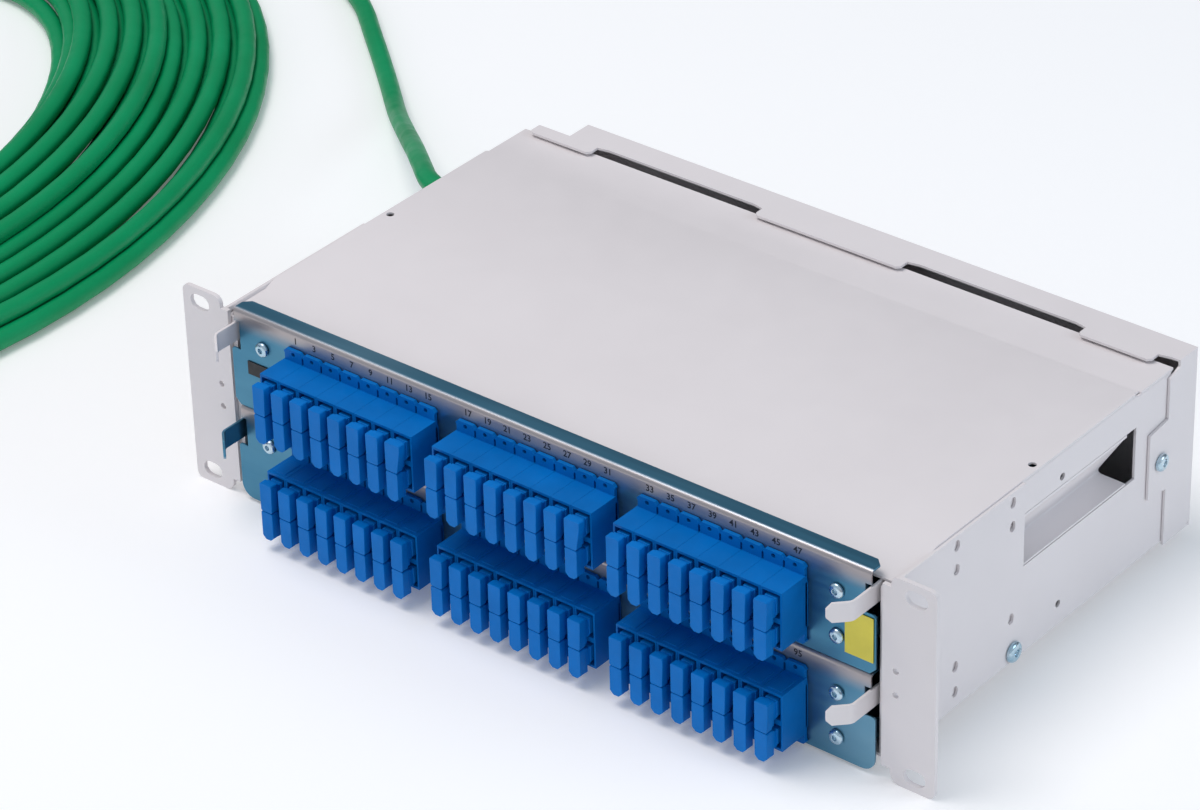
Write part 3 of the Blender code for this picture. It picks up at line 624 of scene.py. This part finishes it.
def make_plate(level, lift, mat):
    """One bent sheet: the front with its windows, a round bend along the top and a lip that runs back."""
    bend, thickness = 2.3, 1.3
    mid_y = PLATE_FRONT + thickness / 2
    lip_z = PLATE_TOP - thickness / 2
    outline = plate_outline(level == "upper", lip_z - bend)
    windows = [rectangle(x, ADAPTER_MID_Z, WINDOW_HALF_WIDTH, WINDOW_HALF_HEIGHT) for x in BLOCK_CENTRES]
    holes = [disc(x, z, 2.2, 16) for x in (-PLATE_SCREW_X, PLATE_SCREW_X) for z in PLATE_SCREW_RISES]
    bm = bmesh.new()
    edges = []
    for ring in [outline] + windows + holes:
        verts = [bm.verts.new((x, mid_y, z)) for x, z in ring]
        edges += [bm.edges.new((verts[i], verts[(i + 1) % len(verts)])) for i in range(len(verts))]
    bmesh.ops.triangle_fill(bm, edges=edges, use_beauty=True)
    bm.verts.ensure_lookup_table()
    right, left = bm.verts[0], bm.verts[len(outline) - 1]
    for y, z in arc(mid_y + bend, lip_z - bend, bend, 180, 90, 6)[1:]:
        after = bm.verts.new((PLATE_SHOULDER, y, z)), bm.verts.new((-PLATE_SHOULDER, y, z))
        bm.faces.new((right, left, after[1], after[0]))
        right, left = after
    ends = ((-PLATE_SHOULDER, 6.0), (-203.0, 9.8), (203.0, 9.8), (PLATE_SHOULDER, 6.0))
    lip = [bm.verts.new((x, y, lip_z)) for x, y in ends]
    bm.faces.new([right, left] + lip)
    for vert in bm.verts:
        vert.co.z += lift
    bmesh.ops.dissolve_limit(bm, angle_limit=math.radians(0.5), verts=bm.verts, edges=bm.edges)
    replaced = [f"{level}_front_plate"]
    obj = mesh_piece(f"{level}_plate_sheet", bm, mat, f"{level}_tray", replaced, 0)
    sheet = obj.modifiers.new("thickness", "SOLIDIFY")
    sheet.thickness = thickness * MM
    sheet.offset = 0
    sheet.use_even_offset = True
    soften(obj, 0.25)


def adapter_body(bm, x, mid):
    """The open front of a duplex adapter: a block with two deep square ports."""
    half, tall = ADAPTER_HALF, BODY_HALF_HEIGHT
    columns = (-half, -PORT_HALF_WIDTH, PORT_HALF_WIDTH, half)
    near, far = PORT_RISE - PORT_HALF_HEIGHT, PORT_RISE + PORT_HALF_HEIGHT
    rows = (-tall, -far, -near, near, far, tall)
    front = [[bm.verts.new((x + u, BODY_FRONT, mid + w)) for w in rows] for u in columns]
    for i in range(3):
        for k in range(5):
            ring = [front[i][k], front[i + 1][k], front[i + 1][k + 1], front[i][k + 1]]
            if i != 1 or k not in (1, 3):
                bm.faces.new(ring)
                continue
            deep = [bm.verts.new((vert.co.x, PORT_FLOOR, vert.co.z)) for vert in ring]
            bm.faces.new(deep)
            for m in range(4):
                n = (m + 1) % 4
                bm.faces.new((ring[m], ring[n], deep[n], deep[m]))
    rim = [front[i][0] for i in range(4)] + [front[3][k] for k in range(1, 6)]
    rim += [front[i][5] for i in (2, 1, 0)] + [front[0][k] for k in (4, 3, 2, 1)]
    rear = [bm.verts.new((vert.co.x, -2.4, vert.co.z)) for vert in rim]
    for i in range(len(rim)):
        j = (i + 1) % len(rim)
        bm.faces.new((rim[i], rim[j], rear[j], rear[i]))
    bm.faces.new(rear)


def adapter_flange(bm, x, mid):
    """The adapter's mounting flange: chamfered corners, a moulding hole above and below, and a waist."""
    half, tall, waist = ADAPTER_HALF, FLANGE_HALF_HEIGHT, 5.9
    quarter = [(half, BODY_HALF_HEIGHT - 4), (waist, BODY_HALF_HEIGHT - 3.4), (waist, 20.8), (half, 21.2)]
    quarter += [(half, tall - 1.6), (half - 1.6, tall)]
    right = [(u, -w) for u, w in reversed(quarter)] + quarter
    outline = right + [(-u, w) for u, w in reversed(right)]
    outline = [(x + u, mid + w) for u, w in outline]
    holes = [disc(x, mid + w, 1.25, 12) for w in (-21.0, 21.0)]
    pierced(outline, holes, -3.8, -1.6, bm)


def make_adapters(level, lift, place, centre, mat):
    """Eight duplex adapters side by side; the first of them stands for the CAD block."""
    mid = ADAPTER_MID_Z + lift
    for i in range(8):
        x = centre + (i - 3.5) * ADAPTER_PITCH
        bm = bmesh.new()
        adapter_body(bm, x, mid)
        adapter_flange(bm, x, mid)
        for port_z in (mid - PORT_RISE, mid + PORT_RISE):
            rear = rectangle(x, port_z, 5.9, 5.6)
            loft([[(u, y, w) for u, w in rear] for y in (-2.2, ADAPTER_BACK)], bm)
        if level == "lower":
            lug = [(x + u, w) for u, w in ((-4.6, 0.0), (4.6, 0.0), (4.0, 0.7), (-4.0, 0.7))]
            loft([[(u, y, mid + BODY_HALF_HEIGHT - 0.3 + w) for u, w in lug] for y in (-20.5, -8.0)], bm)
        replaced = [f"{level}_adapters_{place}"] if i == 0 else ()
        name = f"{level}_adapter_{place}_{i + 1}"
        edge = 0.22 if level == "lower" else 0.06
        mesh_piece(name, bm, mat, f"{level}_tray", replaced, edge)


def make_cap(name, x, z, port_z, mat, body, replaced, shape):
    """A dust cap: a narrow blade to hold it by, a neck and the plug that sits loosely in the port.

    shape is "flared" for one that is wider at its upper end, "chamfered" for one with its lower corners
    cut off, or "wedge" for the odd one out, which widens to one side only.
    """
    half, high = CAP_HALF_WIDTH, CAP_HALF_HEIGHT
    right = half
    if shape == "flared":
        right = half + 0.5
    if shape == "wedge":
        right = half + 2.1
    cut = 2.2 if shape == "chamfered" else 0.7
    outline = [(cut - half, -high), (half - cut, -high), (half, cut - high), (right, high - 3.4)]
    outline += [(right, high - 0.5), (right - 0.5, high), (0.5 - half, high), (-half, high - 0.5)]
    outline += [(-half, cut - high)]
    bm = loft([[(x + u, y, z + w) for u, w in outline] for y in (CAP_FRONT, BLADE_BACK)])
    web = rectangle(x, z, 3.3, high - 1.2)
    loft([[(u, y, w) for u, w in web] for y in (-27.6, -25.2)], bm)
    neck = rectangle(x, (z + port_z) / 2, 3.0, 5.2)
    loft([[(u, y, w) for u, w in neck] for y in (-25.6, -22.2)], bm)
    plug = []
    for y, share in ((-23.4, 1.0), (-12.8, 1.0), (PLUG_END, 0.86)):
        ring = rectangle(x, port_z, PLUG_HALF_WIDTH * share, PLUG_HALF_HEIGHT * share)
        plug.append([(u, y, w) for u, w in ring])
    loft(plug, bm)
    mesh_piece(name, bm, mat, body, replaced, 0.35)


def make_caps(level, lift, place, centre, mat):
    for i in range(8):
        for row, rise, port in (("lower", CAP_RISES[0], -PORT_RISE), ("upper", CAP_RISES[1], PORT_RISE)):
            x = centre + (i - 3.5) * ADAPTER_PITCH
            mid = ADAPTER_MID_Z + lift
            shape = "flared" if row == "upper" else "chamfered"
            if level == "upper" and row == "upper" and i == 7 and place != "right":
                shape = "wedge"
            replaced = [f"{level}_caps_{place}"] if (i, row) == (0, "lower") else ()
            name = f"{level}_cap_{place}_{row}_{i + 1}"
            body = f"{level}_dust_caps_{place}"
            make_cap(name, x, mid + rise, mid + port, mat, body, replaced, shape)


def make_numbers(level, lift, first, mat):
    """The odd port numbers printed under the bend, one above each adapter."""
    bm = bmesh.new()
    number = first
    for centre in BLOCK_CENTRES:
        for i in range(8):
            curve = bpy.data.curves.new("number", "FONT")
            curve.body = str(number)
            curve.size = 5.2
            curve.extrude = 0.03
            curve.align_x = "CENTER"
            curve.align_y = "CENTER"
            curve.resolution_u = 3
            curve.offset = 0.11
            text = bpy.data.objects.new("number", curve)
            text.matrix_world = Matrix.Translation(
                (centre + (i - 3.5) * ADAPTER_PITCH, PLATE_FRONT, 54.4 + lift)
            ) @ Matrix.Rotation(math.pi / 2, 4, "X")
            mesh = bpy.data.meshes.new_from_object(text)
            mesh.transform(text.matrix_world)
            bm.from_mesh(mesh)
            bpy.data.meshes.remove(mesh)
            bpy.data.objects.remove(text)
            bpy.data.curves.remove(curve)
            number += 2
    mesh_piece(f"{level}_port_numbers", bm, mat, f"{level}_tray", (), 0)


def make_lever(level, side, sign, lift, mat):
    """A flat spring strip with a round bend and a finger end, chamfered at its corners."""
    low, high = LEVER_LOW + lift, LEVER_HIGH + lift
    path = [(LEVER_X, 32.0), (LEVER_X, LEVER_BEND_Y)]
    path += arc(LEVER_X - LEVER_BEND, LEVER_BEND_Y, LEVER_BEND, 0, -45, 5)[1:]
    last = path[-1]
    for step in (1.0, 4.5, 8.0, 11.0):
        path.append((last[0] - step * math.sqrt(0.5), last[1] - step * math.sqrt(0.5)))
    sections = []
    for i, (u, y) in enumerate(path):
        before, after = Vector(path[max(i - 1, 0)]), Vector(path[min(i + 1, len(path) - 1)])
        along = (after - before).normalized()
        across = Vector((along.y, -along.x)) * 0.75
        inset = 3.2 if i == len(path) - 1 else 0.0
        corners = ((1, low + inset), (1, high - inset), (-1, high - inset), (-1, low + inset))
        sections.append([(sign * (u + across.x * way), y + across.y * way, z) for way, z in corners])
    bm = loft(sections)
    profile = [(0, -1.6), (2.6, -1.6), (2.6, 0), (0, 0)]
    pivot = (0, LEVER_PIVOT_Y, (low + high) / 2)
    turned([(r, sign * (LEVER_X - 0.7 + a)) for r, a in profile], pivot, "X", 16, bm)
    node = f"{level}_latch_lever_{side}"
    mesh_piece(f"{node}_strip", bm, mat, f"{level}_lever_{side}", [node], 0.3)


def make_screw(node, centre, axis, sign, mat, head, height, shank, length):
    """A pan-head screw: a round dome with a recess for the driver."""
    recess = head * 0.36
    profile = [(0, height - 1.5), (recess * 0.8, height - 1.4)]
    profile += [(recess, height - 0.1), (recess + 0.25, height)]
    rise = height * 0.72
    for radius, along in arc(0, 0, 1.0, 78, 6, 6):
        profile.append((head * radius ** 0.55, height - rise + rise * along))
    profile += [(head, 0.2), (head - 0.2, 0.0), (shank, 0.0)]
    profile += [(shank, -length + 0.5), (shank - 0.4, -length), (0, -length)]
    bm = turned([(radius, sign * along) for radius, along in profile], centre, axis)
    mesh_piece(f"{node}_turned", bm, mat, BODY_OF[node], [node], 0.12, 1)


def make_tray_fronts():
    """The front of both trays. The lower left lever looks like bare zinc, though its slot says paint."""
    for level, lift, first in (("upper", TRAY_PITCH, 1), ("lower", 0.0, 49)):
        # The plates' zinc, with the bend's reflection painted into its colour.
        plate_zinc_with_painted_reflection = zinc_steel(f"{level}_plate_zinc_with_painted_reflection", PLATE_TOP + lift)
        make_plate(level, lift, plate_zinc_with_painted_reflection)
        make_numbers(level, lift, first, BLACK)
        for place, centre in zip(PLACES, BLOCK_CENTRES):
            make_adapters(level, lift, place, centre, ADAPTER_BLUE)
            make_caps(level, lift, place, centre, CAP_BLUE)
        for side, sign in (("left", -1), ("right", 1)):
            bare = (level, side) == ("lower", "left")
            make_lever(level, side, sign, lift, ZINC if bare else PAINT)
            for row, rise in zip(("bottom", "top"), PLATE_SCREW_RISES):
                centre = (sign * PLATE_SCREW_X, PLATE_FRONT - 0.3, rise + lift)
                make_screw(f"{level}_plate_screw_{side}_{row}", centre, "Y", -1, SCREW, 4.2, 2.4, 1.9, 3.0)


def make_cover_seams(mat):
    """Thin strips that hide the CAD's clearance gaps under the top cover and beside the ears."""
    profile = ((8.0, 110.6), (31.6, 110.6), (40.5, 113.4), (213.6, 113.4), (217.3, 112.1), (248.0, 112.1))
    for side, sign in (("left", -1), ("right", 1)):
        ends = ((213.9, 0.0), (215.15, 0.0), (215.15, 0.75), (213.9, 0.75))
        bm = loft([[(sign * x, y, z + rise) for x, rise in ends] for y, z in profile])
        mesh_piece(f"cover_seam_{side}", bm, mat, "chassis", (), 0.1)
        strip = ((215.2, 111.5), (215.7, 111.5), (215.7, 114.45), (215.2, 114.45))
        bm = loft([[(sign * x, y, z) for x, z in strip] for y in (3.0, EAR_FLANGE_BACK - 0.6)])
        mesh_piece(f"ear_seam_{side}", bm, mat, "chassis", (), 0.05)


make_camera()
make_studio()

PAINT = painted_sheet()
ZINC = zinc_steel("zinc_steel")
ADAPTER_BLUE = blue_plastic("adapter_blue", 0.9)
CAP_BLUE = blue_plastic("cap_blue", 1.0)
SCREW = zinc_screw()
JACKET = cable_jacket()
GREY = plain_plastic("grey_plastic", (0.10, 0.10, 0.11), 0.45)
BLACK = plain_plastic("black_trim", (0.012, 0.012, 0.014), 0.5)
YELLOW = plain_plastic("yellow_film", (0.72, 0.62, 0.06), 0.35)
FINISHES = {
    "painted_sheet": PAINT, "zinc_steel": ZINC, "adapter_blue": ADAPTER_BLUE, "cap_blue": CAP_BLUE,
    "zinc_screw": SCREW, "cable_green": JACKET, "grey_plastic": GREY, "black_trim": BLACK,
    "yellow_film": YELLOW,
}

make_cable(FINISHES)

make_tray_fronts()
make_cover_seams(PAINT)
for side, sign in (("right", 1), ("left", -1)):
    make_screw(f"ear_screw_{side}", (sign * WALL_SCREW_X, 105.5, 18.4), "X", sign, SCREW, 5.8, 3.0, 2.2, 5.0)
make_screw("rear_cover_screw", (WALL_SCREW_X, 237.5, 63.5), "X", 1, SCREW, 5.0, 3.0, 2.2, 5.0)

SHEETS = ["chassis_base", "cable_trough", "top_cover", "rear_cover", "ear_left", "ear_right"]
INNER = ["tray", "rail_left", "rail_right", "splice_cassette", "fanout_block"]
INNER = [f"{level}_{part}" for level in ("lower", "upper") for part in INNER]
for subpart in frame["record"]["subparts"]:
    node, slot = subpart["node"], subpart["material_slot"]
    if node in SHEETS + INNER + ["cable_gland"]:
        refine(node, FINISHES[slot], 0.35 if node in SHEETS else 0.25)
    # The CAD's own mesh shows the same finish, wherever no piece replaces it.
    mesh = frame["nodes"][node].data
    mesh.materials.clear()
    mesh.materials.append(FINISHES[slot])
